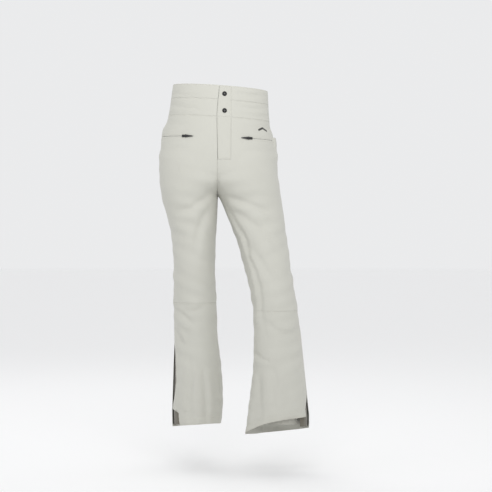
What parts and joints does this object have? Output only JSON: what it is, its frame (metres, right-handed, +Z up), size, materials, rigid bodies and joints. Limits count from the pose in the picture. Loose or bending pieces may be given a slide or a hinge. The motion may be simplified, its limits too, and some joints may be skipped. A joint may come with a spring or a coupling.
{
  "type": "ski pants",
  "caption": "Flared high-waisted softshell ski pants with a zipped fly under a snapped cover, hip zip pockets, zipped hem vents and snow gaiters.",
  "frame": {"origin": "middle of the waist opening, at the top edge of the waistband", "axes": "+Z up out of the waist opening, the front of the trousers faces -Y, the wearer's left is +X"},
  "size_m": [0.4813, 0.3263, 1.1252],
  "materials": {
    "softshell": "matt warm off-white bonded softshell, fine twill face",
    "facing_cloth": "soft brushed tricot",
    "zip_tape": "woven tape with moulded coil, tone on tone",
    "gusset_cloth": "dark taupe ribbed stretch cloth",
    "gaiter_cloth": "plain woven lining cloth",
    "elastic": "ribbed elastic with grip bead",
    "zip_plastic": "black moulded, soft sheen",
    "snap_cap": "black enamelled metal with a bright centre ring",
    "snap_metal": "nickel plated",
    "motif_thread": "tone on tone satin stitch"
  },
  "bodies": {
    "trousers": {"front_right": "softshell", "front_left": "softshell", "shin_right": "softshell", "back_right": "softshell", "shin_left": "softshell", "back_left": "softshell", "waistband_upper_right": "softshell", "waistband_upper_left": "softshell", "waistband_upper_back": "softshell", "waistband_lower_right": "softshell", "waistband_lower_left": "softshell", "waistband_lower_back": "softshell", "waist_facing": "facing_cloth", "waist_underlap": "softshell", "fly_shield": "facing_cloth", "snap_stud_1": "snap_metal", "snap_back_1": "snap_metal", "snap_stud_2": "snap_metal", "snap_back_2": "snap_metal", "fly_zip_stringer_right": "zip_tape", "fly_zip_stringer_left": "zip_tape", "pocket_zip_stringer_upper_right": "zip_tape", "pocket_zip_stringer_lower_right": "zip_tape", "pocket_bag_right": "facing_cloth", "pocket_zip_stringer_upper_left": "zip_tape", "pocket_zip_stringer_lower_left": "zip_tape", "pocket_bag_left": "facing_cloth", "hem_zip_stringer_front_right": "gusset_cloth", "hem_zip_stringer_back_right": "gusset_cloth", "hem_gusset_right": "gusset_cloth", "hem_zip_stringer_front_left": "gusset_cloth", "hem_zip_stringer_back_left": "gusset_cloth", "hem_gusset_left": "gusset_cloth", "snow_gaiter_right": "gaiter_cloth", "gaiter_grip_right": "elastic", "snow_gaiter_left": "gaiter_cloth", "gaiter_grip_left": "elastic", "stitched_motif": "motif_thread"},
    "fly_flap": {"waist_tab": "softshell", "fly_cover": "softshell", "snap_cap_1": "snap_cap", "snap_cap_2": "snap_cap", "snap_socket_1": "snap_metal", "snap_socket_2": "snap_metal"},
    "fly_slider": {"fly_slider": "zip_plastic", "fly_pull": "zip_plastic"},
    "pocket_slider_right": {"pocket_right_slider": "zip_plastic"},
    "pocket_pull_right": {"pocket_right_pull": "zip_plastic"},
    "pocket_slider_left": {"pocket_left_slider": "zip_plastic"},
    "pocket_pull_left": {"pocket_left_pull": "zip_plastic"},
    "hem_slider_right": {"hem_right_slider": "zip_plastic"},
    "hem_pull_right": {"hem_right_pull": "zip_plastic"},
    "hem_slider_left": {"hem_left_slider": "zip_plastic"},
    "hem_pull_left": {"hem_left_pull": "zip_plastic"}
  },
  "joints": [
    {"name": "fly_cover_fold", "type": "hinge", "parent": "trousers", "child": "fly_flap", "pos_m": [0.044, -0.09038, -0.00308], "axis": [0.0085, 0.103, 0.9946], "range_deg": [0, 120]},
    {"name": "fly_zip_run", "type": "slide", "parent": "trousers", "child": "fly_slider", "axis": [0, -0.079, -0.9969], "range_m": [0, 0.104]},
    {"name": "pocket_zip_run_right", "type": "hinge", "parent": "trousers", "child": "pocket_slider_right", "pos_m": [-0.06617, 0.02597, -0.16368], "axis": [-0.035, 0, -0.9994], "range_deg": [0, 45]},
    {"name": "pocket_pull_swing_right", "type": "hinge", "parent": "pocket_slider_right", "child": "pocket_pull_right", "pos_m": [-0.10792, -0.09309, -0.16221], "axis": [-0.035, 0, -0.9994], "range_deg": [0, 150]},
    {"name": "pocket_zip_run_left", "type": "hinge", "parent": "trousers", "child": "pocket_slider_left", "pos_m": [0.06211, 0.02382, -0.16818], "axis": [0.035, 0, 0.9994], "range_deg": [0, 45]},
    {"name": "pocket_pull_swing_left", "type": "hinge", "parent": "pocket_slider_left", "child": "pocket_pull_left", "pos_m": [0.10476, -0.09311, -0.16967], "axis": [0.035, 0, 0.9994], "range_deg": [0, 150]},
    {"name": "hem_zip_run_right", "type": "slide", "parent": "trousers", "child": "hem_slider_right", "axis": [0.03, -0.005, 0.9995], "range_m": [0, 0.194]},
    {"name": "hem_pull_swing_right", "type": "hinge", "parent": "hem_slider_right", "child": "hem_pull_right", "pos_m": [-0.14557, -0.00446, -1.02058], "axis": [-0.0529, 0.9986, 0.0066], "range_deg": [0, 150]},
    {"name": "hem_zip_run_left", "type": "slide", "parent": "trousers", "child": "hem_slider_left", "axis": [-0.0958, 0.0843, 0.9918], "range_m": [0, 0.194]},
    {"name": "hem_pull_swing_left", "type": "hinge", "parent": "hem_slider_left", "child": "hem_pull_left", "pos_m": [0.28395, -0.11162, -1.02074], "axis": [-0.0474, -0.9957, 0.08], "range_deg": [0, 150]}
  ]
}
